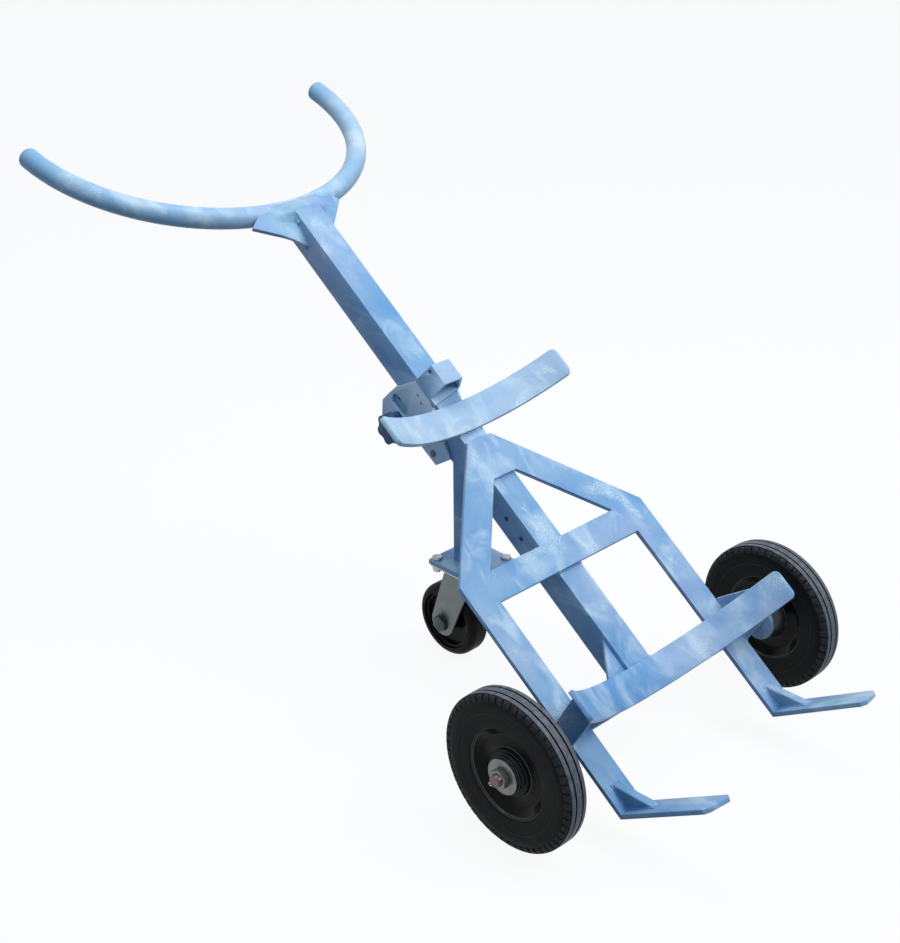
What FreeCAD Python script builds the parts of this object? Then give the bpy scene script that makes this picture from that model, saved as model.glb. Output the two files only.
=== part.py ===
import FreeCAD, Part
import math
import os

Vector = FreeCAD.Vector
Placement = FreeCAD.Placement
Rotation = FreeCAD.Rotation

# Drum trolley standing on three wheels, with its frame leaning back.
# Frame pieces are drawn in plate coordinates: X across, Y up along the legs from the heel, which is
# the inside corner of leg and toe, and Z out of the frame towards the drum. The front faces of the
# flat bars lie on Z = 0. Wheels and caster are drawn upright, with the axle above the origin.

# Flat bar frame
lean_deg = 36.3
bar_width = 48.0
bar_thick = 8.0
frame_half_width = 205.0
diagonal_width = 48.0
shoulder_height = 405.0
apex_height = 610.0
apex_half_width = 25.0
crossbar_drop = 47.0
crossbar_width = 50.0

# Mast
mast_width = 50.0
mast_depth = 50.0
mast_wall = 3.0
mast_foot = 150.0
cap_thick = 4.0
plug_radius = 2.5
plug_head_radius = 3.5
plug_head = 1.0
plug_low = 440.0
plug_pitch = 40.0

# Toes
toe_open_deg = 22.4
toe_inner_length = 180.0
toe_outer_length = 172.0
toe_corner = 8.0
toe_gusset_up = 44.0
toe_gusset_along = 54.0
toe_gusset_thick = 16.0
toe_gusset_round = 3.0

# Cradle bars
cradle_radius = 300.0
cradle_width = 52.0
cradle_corner = 10.0
lower_cradle_low = 123.0
lower_cradle_half = 236.0
upper_cradle_gap = 17.0
upper_cradle_half = 187.5

# Side plates and foot gussets
side_plate_thick = 6.0
side_plate_top = 159.0
side_plate_right_top = 200.0
side_plate_low = 119.0
side_plate_inset = 4.0
axle_boss_radius = 24.0
gusset_thick = 6.0
foot_gusset_top = 235.0
foot_gusset_shoulder = 180.0
foot_gusset_reach = 37.0

# Handle
handle_tube_radius = 17.5
handle_wall = 2.5
handle_bend_radius = 304.5
handle_half_deg = 90.0
handle_tilt_deg = 19.5
handle_height = 1121.0
handle_set_back = 7.5
handle_cap_length = 8.0
handle_cap_round = 7.0
handle_plug_length = 12.0
handle_gusset_drop = 65.0
handle_gusset_reach = 75.0
handle_gusset_set_back = 13.0

# Wheels and axle
wheel_radius = 125.0
tyre_width = 40.0
tyre_shoulder = 5.0
tread_groove_width = 2.6
tread_groove_depth = 3.0
tread_groove_offset = 6.5
rim_radius = 80.0
rim_seat_width = 34.0
half_track = 300.0
hub_inner = 28.0
hub_outer = 22.0
hub_radius = 37.0
rim_web = 6.0
rim_lip = 10.0
bush_radius = 13.0
axle_radius = 10.0
axle_up_leg = 136.5
axle_thread_radius = 9.0
axle_thread_length = 19.0
flange_radius = 31.0
flange_thick = 8.0
flange_chamfer = 1.5
axle_washer_radius = 28.0
axle_washer_thick = 3.0
axle_nut_flat = 28.0
axle_nut_thick = 10.0
split_pin_radius = 1.6
split_pin_length = 28.0
split_pin_eye = 3.2
split_pin_turn_deg = 135.0

# Caster
caster_reach = 388.0
caster_height = 185.0
caster_trail = 43.0
caster_wheel_radius = 65.0
caster_wheel_width = 40.0
caster_tyre_depth = 14.0
caster_tyre_round = 11.0
caster_hub_length = 48.0
caster_axle_radius = 6.0
mount_plate_size = 100.0
mount_plate_thick = 8.0
post_size = 42.0
post_wall = 3.0
caster_plate_size = 96.0
caster_plate_thick = 4.0
caster_bolt_pitch = 80.0
caster_bolt_radius = 5.0
caster_bolt_flat = 15.0
caster_bolt_head = 5.5
caster_nut_height = 8.0
race_radius = 31.0
race_height = 11.0
kingpin_radius = 6.0
kingpin_head_radius = 11.0
kingpin_head = 9.0
fork_thick = 4.0
fork_crown_thick = 5.0
fork_crown_front = 24.0
fork_crown_back = 37.0
fork_boss_radius = 24.5
fork_bend = 4.0
axle_bolt_flat = 26.0
axle_bolt_head = 9.0

# Chime clamp
clamp_jaw_gap = 9.0
clamp_post_gap = 10.0
clamp_cheek_height = 158.0
clamp_cheek_depth = 68.0
clamp_cheek_thick = 5.0
clamp_pad_thick = 2.0
clamp_pad_length = 90.0
clamp_strap_thick = 6.0
clamp_strap_slant = 14.0
clamp_bolt_up = 29.0
clamp_bolt_back = 18.0
clamp_bolt_radius = 4.0
clamp_bolt_head_radius = 5.5
clamp_bolt_head = 2.0
clamp_spacer_radius = 8.0
clamp_slot_up = 118.0
clamp_slot_length = 18.0
clamp_slot_back = 15.0
clamp_slot_radius = 11.0
beak_up = 88.0
beak_height = 39.0
beak_reach = 31.0
beak_nose_half = 19.0
beak_wall = 4.0
beak_web = 12.0
beak_hole_radius = 3.5
screw_up = 108.0
screw_back = 49.0
screw_radius = 6.0
screw_collar_radius = 10.0
screw_collar = 6.0
knob_radius = 27.0
knob_thick = 22.0
knob_lobes = 6
knob_lobe_radius = 9.0

# Fits
running_clearance = 0.05
seat_clearance = 0.3
slide_clearance = 0.3
hole_clearance = 0.25

nodes = {}


def block(x_low, x_high, y_low, y_high, z_low, z_high):
    size = Vector(x_high - x_low, y_high - y_low, z_high - z_low)
    return Part.makeBox(size.x, size.y, size.z, Vector(x_low, y_low, z_low))


def outline(points):
    return Part.Face(Part.makePolygon(points + points[:1]))


def flat(points, z_low, z_high):
    """Plate from an X, Y outline, thick along Z."""
    face = outline([Vector(x, y, z_low) for x, y in points])
    return face.extrude(Vector(0, 0, z_high - z_low))


def web(points, x_low, x_high):
    """Plate from a Y, Z outline, thick along X."""
    face = outline([Vector(x_low, y, z) for y, z in points])
    return face.extrude(Vector(x_high - x_low, 0, 0))


def rod(radius, x_low, x_high, y=0.0, z=0.0):
    return Part.makeCylinder(radius, x_high - x_low, Vector(x_low, y, z), Vector(1, 0, 0))


def post(radius, z_low, z_high, x=0.0, y=0.0):
    return Part.makeCylinder(radius, z_high - z_low, Vector(x, y, z_low))


def hexagon(flat_size, height, base, direction):
    """Hexagonal prism that stands on base and grows along direction."""
    radius = flat_size / math.sqrt(3.0)
    corners = []
    for index in range(6):
        turn = math.radians(60.0 * index)
        corners.append(Vector(radius * math.cos(turn), radius * math.sin(turn), 0))
    prism = outline(corners).extrude(Vector(0, 0, height))
    prism.Placement = Placement(base, Rotation(Vector(0, 0, 1), direction))
    return prism


def turned(points):
    """Solid of revolution about X from its along-X and radius profile."""
    face = outline([Vector(along, 0, radius) for along, radius in points])
    return face.revolve(Vector(0, 0, 0), Vector(1, 0, 0), 360)


def slot(y_first, z_first, y_last, z_last, radius, x_low, x_high):
    """Round-ended slot cutter through X, between two centres."""
    first = Vector(x_low, y_first, z_first)
    last = Vector(x_low, y_last, z_last)
    along = last.sub(first).normalize()
    side = Vector(0, -along.z, along.y).multiply(radius)
    corners = [first.add(side), last.add(side), last.sub(side), first.sub(side)]
    body = outline(corners).extrude(Vector(x_high - x_low, 0, 0))
    ends = [rod(radius, x_low, x_high, point.y, point.z) for point in (first, last)]
    return body.multiFuse(ends).removeSplitter()


def mirrored(shape):
    return shape.mirror(Vector(0, 0, 0), Vector(1, 0, 0))


def tangent_point(point, centre, radius, side):
    """Where a line from point touches a circle, on the chosen side of the line to its centre."""
    away_y = centre[0] - point[0]
    away_z = centre[1] - point[1]
    distance = math.hypot(away_y, away_z)
    base = math.atan2(-away_z, -away_y)
    swing = side * math.acos(radius / distance)
    turn = base + swing
    return (centre[0] + radius * math.cos(turn), centre[1] + radius * math.sin(turn))


# The frame leans about X, and the axle rests in front of the origin's vertical at wheel height.
mast_front = -bar_thick
mast_back = mast_front - mast_depth
mast_half = mast_width / 2.0
axle_depth = -(bar_thick + axle_radius)
lean = math.radians(lean_deg)
heel_y = -(axle_up_leg * math.cos(lean) - axle_depth * math.sin(lean))
heel_z = wheel_radius - (axle_up_leg * math.sin(lean) + axle_depth * math.cos(lean))
frame_place = Placement(Vector(0, heel_y, heel_z), Rotation(Vector(1, 0, 0), lean_deg))


def leaned(shape):
    copy = shape.copy()
    copy.Placement = frame_place.multiply(copy.Placement)
    return copy


def add(name, shape):
    nodes[name] = shape


def add_frame(name, shape):
    add(name, leaned(shape))


def add_frame_pair(name, right_shape):
    add_frame(name + "_right", right_shape)
    add_frame(name + "_left", mirrored(right_shape))


# Flat bar frame: legs, crossbar, diagonals and apex plate
leg_inner = frame_half_width - bar_width
rise_x = frame_half_width - apex_half_width
rise_y = apex_height - shoulder_height
rise = math.hypot(rise_x, rise_y)
inner_shift = diagonal_width * rise / rise_x


def diagonal_edge(x, shift):
    """Height of the diagonal's outer edge at x, lowered by shift for its inner edge."""
    return shoulder_height + (frame_half_width - x) * rise_y / rise_x - shift


crossbar_low = shoulder_height - crossbar_drop
crossbar_high = crossbar_low + crossbar_width
mitre_y = diagonal_edge(leg_inner, inner_shift)
window_top = diagonal_edge(apex_half_width, inner_shift)
window_corner = frame_half_width - (crossbar_high - shoulder_height + inner_shift) * rise_x / rise_y
end_x = apex_half_width + diagonal_width * rise_y / rise
end_y = window_top + diagonal_width * rise_x / rise

toe_open = math.radians(toe_open_deg)
toe_along = (-math.sin(toe_open), math.cos(toe_open))
toe_up = (math.cos(toe_open), math.sin(toe_open))
heel_outer_y = -bar_thick * (1.0 - math.sin(toe_open)) / math.cos(toe_open)


def leg():
    side = web([(0, 0), (shoulder_height, 0), (shoulder_height, -bar_thick), (heel_outer_y, -bar_thick)],
               leg_inner, frame_half_width)
    plan = flat([(leg_inner, heel_outer_y), (frame_half_width, heel_outer_y),
                 (frame_half_width, shoulder_height), (leg_inner, mitre_y)], -bar_thick, 0)
    return side.common(plan)


def toe():
    length = toe_inner_length
    tip = (toe_along[0] * length, toe_along[1] * length)
    under = (tip[0] - toe_up[0] * bar_thick, tip[1] - toe_up[1] * bar_thick)
    side = web([(0, 0), tip, under, (heel_outer_y, -bar_thick)], leg_inner, frame_half_width)
    plan = flat([(leg_inner, -bar_thick), (frame_half_width, -bar_thick),
                 (frame_half_width, toe_outer_length - toe_corner),
                 (frame_half_width - toe_corner, toe_outer_length),
                 (leg_inner + toe_corner, toe_inner_length),
                 (leg_inner, toe_inner_length - toe_corner)], 0, bar_thick)
    plan.Placement = Placement(Vector(0, 0, 0), Rotation(Vector(1, 0, 0), 90.0 + toe_open_deg))
    return side.common(plan)


def toe_gusset():
    middle = frame_half_width - bar_width / 2.0
    low = middle - toe_gusset_thick / 2.0
    high = middle + toe_gusset_thick / 2.0
    foot = (toe_along[0] * toe_gusset_along, toe_along[1] * toe_gusset_along)
    wedge = web([(0, 0), (toe_gusset_up, 0), foot], low, high)
    slope = [edge for edge in wedge.Edges
             if abs(edge.Length - math.hypot(toe_gusset_up - foot[0], foot[1])) < 0.01]
    return wedge.makeFillet(toe_gusset_round, slope)


add_frame_pair("leg", leg())
add_frame_pair("toe", toe())
add_frame_pair("toe_gusset", toe_gusset())
add_frame("crossbar", flat([(-leg_inner, crossbar_low), (leg_inner, crossbar_low), (leg_inner, mitre_y),
                            (window_corner, crossbar_high), (-window_corner, crossbar_high),
                            (-leg_inner, mitre_y)], -bar_thick, 0))
add_frame_pair("diagonal", flat([(frame_half_width, shoulder_height), (leg_inner, mitre_y),
                                 (apex_half_width, window_top), (end_x, end_y)], -bar_thick, 0))
add_frame("apex_plate", flat([(-apex_half_width, window_top), (apex_half_width, window_top), (end_x, end_y),
                              (apex_half_width, apex_height), (-apex_half_width, apex_height),
                              (-end_x, end_y)], -bar_thick, 0))

# Mast: hollow section with a top plate under the handle and plugs in its left wall
mast_top = handle_height - handle_tube_radius - cap_thick
mast_axis = mast_front - mast_depth / 2.0
plug_heights = [plug_low, plug_low + plug_pitch]


def mast():
    outer = block(-mast_half, mast_half, mast_foot, mast_top, mast_back, mast_front)
    inner = block(-mast_half + mast_wall, mast_half - mast_wall, mast_foot, mast_top,
                  mast_back + mast_wall, mast_front - mast_wall)
    holes = [rod(plug_radius, -mast_half, -mast_half + mast_wall, height, mast_axis)
             for height in plug_heights]
    return outer.cut(inner).cut(Part.makeCompound(holes))


def mast_plugs():
    plugs = []
    for height in plug_heights:
        stem = rod(plug_radius, -mast_half, -mast_half + mast_wall, height, mast_axis)
        head = rod(plug_head_radius, -mast_half - plug_head, -mast_half, height, mast_axis)
        plugs.append(stem.fuse(head))
    return Part.makeCompound(plugs)


add_frame("mast", mast())
add_frame("mast_plugs", mast_plugs())
add_frame("mast_cap", block(-mast_half, mast_half, mast_top, mast_top + cap_thick, mast_back, mast_front))


# Cradle bars, rolled about an axis parallel to the mast
upper_cradle_low = apex_height + upper_cradle_gap


def cradle(low, half):
    section = outline([Vector(0, low, 0), Vector(0, low, -bar_thick),
                       Vector(0, low + cradle_width, -bar_thick), Vector(0, low + cradle_width, 0)])
    swing = math.degrees(math.asin(half / cradle_radius))
    section.rotate(Vector(0, 0, cradle_radius), Vector(0, 1, 0), -swing)
    bar = section.revolve(Vector(0, 0, cradle_radius), Vector(0, 1, 0), 2.0 * swing)
    corners = [edge for edge in bar.Edges if abs(edge.Length - bar_thick) < 0.01]
    return bar.makeFillet(cradle_corner, corners)


add_frame("lower_cradle", cradle(lower_cradle_low, lower_cradle_half))
add_frame("upper_cradle", cradle(upper_cradle_low, upper_cradle_half))


# Side plates carry the axle and stand the lower cradle off the legs
def side_plate(top):
    low = frame_half_width
    high = frame_half_width + side_plate_thick
    front = cradle_radius + bar_thick - math.sqrt((cradle_radius + bar_thick) ** 2 - high ** 2)
    bar_low = lower_cradle_low + side_plate_inset
    bar_high = lower_cradle_low + cradle_width - side_plate_inset
    plate = web([(side_plate_top, axle_depth), (top, 0), (bar_high, front),
                 (bar_low, front), (side_plate_low, 0), (side_plate_low, axle_depth)], low, high)
    boss = rod(axle_boss_radius, low, high, axle_up_leg, axle_depth)
    bore = rod(axle_radius + running_clearance, low, high, axle_up_leg, axle_depth)
    bar_back = Part.makeCylinder(cradle_radius + bar_thick, 4.0 * cradle_width,
                                 Vector(0, lower_cradle_low - cradle_width, cradle_radius), Vector(0, 1, 0))
    return plate.fuse(boss).removeSplitter().cut(bore).cut(bar_back)


def foot_gusset():
    reach = mast_half + foot_gusset_reach
    high = axle_depth - gusset_thick / 2.0 + gusset_thick
    plate = flat([(mast_half, foot_gusset_top), (mast_half, axle_up_leg), (reach, axle_up_leg),
                  (reach, foot_gusset_shoulder)], high - gusset_thick, high)
    return plate.cut(rod(axle_radius + running_clearance, 0, half_track, axle_up_leg, axle_depth))


add_frame("side_plate_right", side_plate(side_plate_right_top))
add_frame("side_plate_left", mirrored(side_plate(side_plate_top)))
add_frame("foot_gusset", mirrored(foot_gusset()))

# Handle, drawn flat with its middle at the origin, then tilted onto the mast's top plate
handle_depth = mast_axis - handle_set_back
handle_place = Placement(Vector(0, handle_height, handle_depth), Rotation(Vector(1, 0, 0), -handle_tilt_deg))
bend_centre = Vector(0, handle_bend_radius, 0)
bend_axis = Vector(0, 0, 1)


def bent_tube(radius):
    ring = Part.Wire(Part.makeCircle(radius, Vector(0, 0, 0), Vector(1, 0, 0)))
    section = Part.Face(ring)
    section.rotate(bend_centre, bend_axis, -handle_half_deg)
    return section.revolve(bend_centre, bend_axis, 2.0 * handle_half_deg)


def handle_cap():
    bend_clearance = handle_plug_length ** 2 / (2.0 * handle_bend_radius) + running_clearance
    plug_radius_fit = handle_tube_radius - handle_wall - bend_clearance
    head = rod(handle_tube_radius, 0, handle_cap_length)
    rim = [edge for edge in head.Edges if edge.BoundBox.XMin > handle_cap_length - 0.01]
    head = head.makeFillet(handle_cap_round, rim)
    cap = head.fuse(rod(plug_radius_fit, -handle_plug_length, 0)).removeSplitter()
    cap.rotate(bend_centre, bend_axis, handle_half_deg)
    return cap


def tilted(shape):
    copy = shape.copy()
    copy.Placement = handle_place.multiply(copy.Placement)
    return copy


outer_tube = bent_tube(handle_tube_radius)
add_frame("handle", tilted(outer_tube.cut(bent_tube(handle_tube_radius - handle_wall))))
add_frame("handle_caps", Part.makeCompound([tilted(handle_cap()), tilted(mirrored(handle_cap()))]))


def handle_gusset():
    reach = mast_half + handle_gusset_reach
    front = mast_front - handle_gusset_set_back
    bow = handle_bend_radius - math.sqrt(handle_bend_radius ** 2 - reach ** 2)
    tip = handle_height + bow * math.cos(math.radians(handle_tilt_deg))
    plate = flat([(mast_half, handle_height), (mast_half, handle_height - handle_gusset_drop),
                  (reach, tip - handle_tube_radius), (reach, tip)], front - bar_thick, front)
    return plate.cut(tilted(outer_tube))


add_frame_pair("handle_gusset", handle_gusset())

# Axle, flanges and fasteners, drawn about X through the axle's centre
shoulder_x = half_track + hub_outer + seat_clearance
washer_x = shoulder_x + axle_washer_thick
nut_x = washer_x + axle_nut_thick
thread_x = shoulder_x + axle_thread_length
pin_x = nut_x + split_pin_radius + seat_clearance
flange_x = half_track - hub_inner - seat_clearance
wheel_centre = Vector(0, 0, wheel_radius)


def raised(shape):
    copy = shape.copy()
    copy.translate(wheel_centre)
    return copy


def both_ends(shape):
    return Part.makeCompound([raised(shape), raised(mirrored(shape))])


def pin_turned(shape):
    copy = shape.copy()
    copy.rotate(Vector(0, 0, 0), Vector(1, 0, 0), -split_pin_turn_deg)
    return copy


def axle():
    bar = rod(axle_radius, -shoulder_x, shoulder_x)
    threads = rod(axle_thread_radius, -thread_x, thread_x)
    body = bar.fuse(threads).removeSplitter()
    pin_radius = split_pin_radius + running_clearance
    for side in (-1, 1):
        body = body.cut(pin_turned(post(pin_radius, -axle_radius, axle_radius, side * pin_x)))
    return body


def flange():
    bore = axle_radius + running_clearance
    inner_x = flange_x - flange_thick
    return turned([(inner_x, bore), (inner_x, flange_radius - flange_chamfer),
                   (inner_x + flange_chamfer, flange_radius), (flange_x - flange_chamfer, flange_radius),
                   (flange_x, flange_radius - flange_chamfer), (flange_x, bore)])


def split_pin():
    half = split_pin_length / 2.0
    stem = post(split_pin_radius, -half, half, pin_x)
    low = pin_x - split_pin_radius
    high = pin_x + split_pin_radius
    eye = rod(split_pin_eye, low, high, 0, half).cut(rod(split_pin_radius, low, high, 0, half))
    return pin_turned(stem.cut(rod(split_pin_radius, low, high, 0, half)).fuse(eye))


add("axle", raised(axle()))
add("axle_flange_right", raised(flange()))
add("axle_flange_left", raised(mirrored(flange())))
thread_hole = rod(axle_thread_radius + hole_clearance, shoulder_x, thread_x)
add("axle_washers", both_ends(rod(axle_washer_radius, shoulder_x, washer_x).cut(thread_hole)))
add("axle_nuts", both_ends(hexagon(axle_nut_flat, axle_nut_thick, Vector(washer_x, 0, 0),
                                   Vector(1, 0, 0)).cut(thread_hole)))
add("split_pins", both_ends(split_pin()))


# Wheels: dished rim with a stepped boss, bush and grooved tyre
def rim():
    seat = rim_seat_width / 2.0
    lip = seat - 3.0
    web_half = rim_web / 2.0
    lip_radius = rim_radius - rim_lip
    dish_radius = lip_radius - rim_lip
    step = hub_outer - 5.0
    dish = [(web_half, hub_radius + 6.0), (web_half, dish_radius - 3.0), (web_half + 2.0, dish_radius),
            (lip, lip_radius), (seat, lip_radius + 1.0), (seat, rim_radius)]
    inner_side = [(-along, radius) for along, radius in dish]
    outer_side = list(reversed(dish))
    inner_boss = [(-hub_inner, bush_radius), (-hub_inner, hub_radius * 0.65), (-seat, hub_radius * 0.85),
                  (-web_half - 2.0, hub_radius)]
    outer_boss = [(web_half + 2.0, hub_radius), (step - 4.0, hub_radius), (step - 4.0, hub_radius * 0.85),
                  (step, hub_radius * 0.85), (step, hub_radius * 0.75), (hub_outer, hub_radius * 0.72),
                  (hub_outer, bush_radius)]
    return turned(inner_boss + inner_side + outer_side + outer_boss)


def tyre():
    half = tyre_width / 2.0
    seat = rim_seat_width / 2.0
    bore = rim_radius + running_clearance
    side_mid = (bore + wheel_radius) / 2.0
    shoulder = wheel_radius - tyre_shoulder
    edge = half - tyre_shoulder
    right = [(seat, bore), (half - 0.6, bore + 8.0), (half, side_mid), (half - 0.8, shoulder - 4.0),
             (half - 1.6, shoulder), (edge, wheel_radius - 0.6)]
    groove_floor = wheel_radius - tread_groove_depth
    groove_out = tread_groove_offset + tread_groove_width / 2.0
    groove_in = tread_groove_offset - tread_groove_width / 2.0
    right += [(groove_out, wheel_radius), (groove_out, groove_floor), (groove_in, groove_floor),
              (groove_in, wheel_radius)]
    left = [(-along, radius) for along, radius in reversed(right)]
    return turned(right + left)


def bush():
    sleeve = rod(bush_radius - running_clearance, -hub_inner, hub_outer)
    return sleeve.cut(rod(axle_radius + running_clearance, -hub_inner, hub_outer))


for side_name, side in (("right", 1), ("left", -1)):
    for piece_name, piece in (("rim", rim()), ("tyre", tyre()), ("bush", bush())):
        piece.translate(Vector(half_track, 0, 0))
        placed = piece if side > 0 else mirrored(piece)
        add(piece_name + "_" + side_name, raised(placed))

# Caster post and mount plate
plate_top = caster_height + mount_plate_thick
plate_half = mount_plate_size / 2.0
post_half = post_size / 2.0
bolt_half = caster_bolt_pitch / 2.0
bolt_places = [(x, caster_reach + y) for x in (-bolt_half, bolt_half) for y in (-bolt_half, bolt_half)]


def caster_post():
    top = wheel_radius + apex_height
    inset = post_half - post_wall
    outer = block(-post_half, post_half, caster_reach - post_half, caster_reach + post_half, plate_top, top)
    inner = block(-inset, inset, caster_reach - inset, caster_reach + inset, plate_top, top)
    above = block(-post_size, post_size, -apex_height, 2.0 * apex_height, mast_back, mast_back + 2.0 * top)
    return outer.cut(inner).cut(leaned(above))


def bolt_holes(radius, low, high):
    return Part.makeCompound([post(radius, low, high, x, y) for x, y in bolt_places])


def mount_plate():
    plate = block(-plate_half, plate_half, caster_reach - plate_half, caster_reach + plate_half,
                  caster_height, plate_top)
    return plate.cut(bolt_holes(caster_bolt_radius + hole_clearance, caster_height, plate_top))


add("caster_post", caster_post())
add("mount_plate", mount_plate())

# Caster plate, race, kingpin and bolts, fixed under the mount plate
caster_plate_low = caster_height - caster_plate_thick
race_low = caster_plate_low - race_height
crown_high = race_low - seat_clearance
crown_low = crown_high - fork_crown_thick
kingpin_low = crown_low - seat_clearance - kingpin_head


def caster_plate():
    half = caster_plate_size / 2.0
    plate = block(-half, half, caster_reach - half, caster_reach + half, caster_plate_low, caster_height)
    return plate.cut(bolt_holes(caster_bolt_radius + hole_clearance, caster_plate_low, caster_height))


def caster_bolts():
    bolts = []
    for x, y in bolt_places:
        head = hexagon(caster_bolt_flat, caster_bolt_head, Vector(x, y, plate_top), Vector(0, 0, 1))
        low = caster_plate_low - caster_nut_height - caster_bolt_radius / 2.0
        bolts.append(head.fuse(post(caster_bolt_radius, low, plate_top, x, y)))
    return Part.makeCompound(bolts)


def caster_nuts():
    low = caster_plate_low - caster_nut_height
    hole = bolt_holes(caster_bolt_radius + running_clearance, low, caster_plate_low)
    nuts = [hexagon(caster_bolt_flat, caster_nut_height, Vector(x, y, low), Vector(0, 0, 1)).cut(hole)
            for x, y in bolt_places]
    return Part.makeCompound(nuts)


def caster_race():
    ring = post(race_radius, race_low, caster_plate_low, 0, caster_reach)
    ring = ring.makeFillet(race_height / 4.0, [edge for edge in ring.Edges
                                               if edge.BoundBox.ZMax < race_low + 0.01])
    return ring.cut(post(kingpin_radius + running_clearance, race_low, caster_plate_low, 0, caster_reach))


def caster_kingpin():
    stem = post(kingpin_radius, kingpin_low, caster_plate_low, 0, caster_reach)
    return stem.fuse(post(kingpin_head_radius, kingpin_low, kingpin_low + kingpin_head, 0, caster_reach))


add("caster_plate", caster_plate())
add("caster_bolts", caster_bolts())
add("caster_nuts", caster_nuts())
add("caster_race", caster_race())
add("caster_kingpin", caster_kingpin())

# Fork that swivels under the race, and the wheel that trails behind it
caster_axle_y = caster_reach + caster_trail
fork_inner = caster_hub_length / 2.0 + seat_clearance
fork_outer = fork_inner + fork_thick
boss_centre = (caster_axle_y, caster_wheel_radius)


def caster_fork():
    front = (caster_reach - fork_crown_front, crown_low)
    back = (caster_reach + fork_crown_back, crown_low)
    front_touch = tangent_point(front, boss_centre, fork_boss_radius, 1)
    back_touch = tangent_point(back, boss_centre, fork_boss_radius, -1)
    profile = [(front[0], crown_high), front, front_touch, boss_centre, back_touch, back,
               (back[0], crown_high)]
    cheek = web(profile, fork_inner, fork_outer)
    cheek = cheek.fuse(rod(fork_boss_radius, fork_inner, fork_outer, *boss_centre))
    crown = block(-fork_outer, fork_outer, front[0], back[0], crown_low, crown_high)
    fork = crown.multiFuse([cheek, mirrored(cheek)]).removeSplitter()
    bends = [edge for edge in fork.Edges
             if edge.BoundBox.ZMin > crown_high - 0.01 and edge.BoundBox.XLength < 0.01]
    fork = fork.makeFillet(fork_bend, bends)
    bore = rod(caster_axle_radius + running_clearance, -fork_outer, fork_outer, *boss_centre)
    eye = post(kingpin_radius + running_clearance, crown_low, crown_high, 0, caster_reach)
    return fork.cut(bore).cut(eye)


def caster_axle_bolt():
    shank = rod(caster_axle_radius, -fork_outer, fork_outer + axle_bolt_head, *boss_centre)
    head = hexagon(axle_bolt_flat, axle_bolt_head, Vector(-fork_outer, *boss_centre), Vector(-1, 0, 0))
    return shank.fuse(head)


def caster_axle_nut():
    nut = hexagon(axle_bolt_flat, axle_bolt_head, Vector(fork_outer, *boss_centre), Vector(1, 0, 0))
    return nut.cut(rod(caster_axle_radius + running_clearance, 0, 2.0 * fork_outer, *boss_centre))


def caster_hub():
    half = caster_wheel_width / 2.0
    length = caster_hub_length / 2.0
    seat = caster_wheel_radius - caster_tyre_depth
    bore = caster_axle_radius + running_clearance
    right = [(length, bore), (length, bore + 8.0), (half - 12.0, bore + 12.0), (half - 12.0, seat - 8.0),
             (half - 3.0, seat - 5.0), (half - 3.0, seat)]
    left = [(-along, radius) for along, radius in reversed(right)]
    return turned(right + left)


def caster_tyre():
    half = caster_wheel_width / 2.0
    seat = caster_wheel_radius - caster_tyre_depth + running_clearance
    body = rod(caster_wheel_radius, -half, half)
    body = body.makeFillet(caster_tyre_round, [edge for edge in body.Edges
                                               if edge.Length > 6.0 * caster_wheel_radius])
    return body.cut(rod(seat, -half, half))


add("caster_fork", caster_fork())
add("caster_axle_bolt", caster_axle_bolt())
add("caster_axle_nut", caster_axle_nut())
for piece_name, piece in (("caster_hub", caster_hub()), ("caster_tyre", caster_tyre())):
    piece.translate(Vector(0, *boss_centre))
    add(piece_name, piece)

# Chime clamp: two cheeks astride the mast, a beak over the drum's rim, and a screw that squeezes
# the cheeks onto the mast. It rests above the upper cradle, clear of the caster post.
cheek_inner = mast_half + slide_clearance + clamp_pad_thick
cheek_outer = cheek_inner + clamp_cheek_thick
strap_back = mast_front + slide_clearance
strap_front = strap_back + clamp_strap_thick
bolt_depth = mast_back - clamp_bolt_back
post_clear = caster_reach + post_half + clamp_post_gap + clamp_spacer_radius
over_post = (post_clear - heel_y + bolt_depth * math.sin(lean)) / math.cos(lean) - clamp_bolt_up
over_cradle = upper_cradle_low + cradle_width + clamp_jaw_gap + clamp_strap_slant - beak_up
clamp_low = max(over_post, over_cradle)
bolt_height = clamp_low + clamp_bolt_up
beak_low = clamp_low + beak_up
beak_high = beak_low + beak_height
screw_height = clamp_low + screw_up
screw_depth = mast_back - screw_back


def cheek_outline():
    def corner(up, behind):
        return (clamp_low + up * clamp_cheek_height, mast_back - behind * clamp_cheek_depth)

    front = [(clamp_low + 0.48 * clamp_cheek_height, strap_back - clamp_strap_thick),
             (clamp_low + 0.545 * clamp_cheek_height, strap_back), (beak_high, strap_back)]
    back = [corner(0.95, -0.09), corner(0.98, 0.265), corner(1.0, 0.62), corner(0.905, 0.97),
            corner(0.62, 1.0), corner(0.48, 0.85), corner(0.34, 0.47), corner(0.082, 0.44)]
    return [corner(0.0, -0.06)] + front + back


def clamp_cheek():
    cheek = web(cheek_outline(), cheek_inner, cheek_outer)
    bolt_eye = rod(clamp_bolt_radius + running_clearance, cheek_inner, cheek_outer, bolt_height, bolt_depth)
    screw_eye = rod(screw_radius + running_clearance, cheek_inner, cheek_outer, screw_height, screw_depth)
    return cheek.cut(bolt_eye).cut(screw_eye)


def cheek_slot():
    low = clamp_low + clamp_slot_up
    depth = mast_back - clamp_slot_back
    return slot(low, depth, low + clamp_slot_length, depth, clamp_slot_radius, cheek_inner, cheek_outer)


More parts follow.
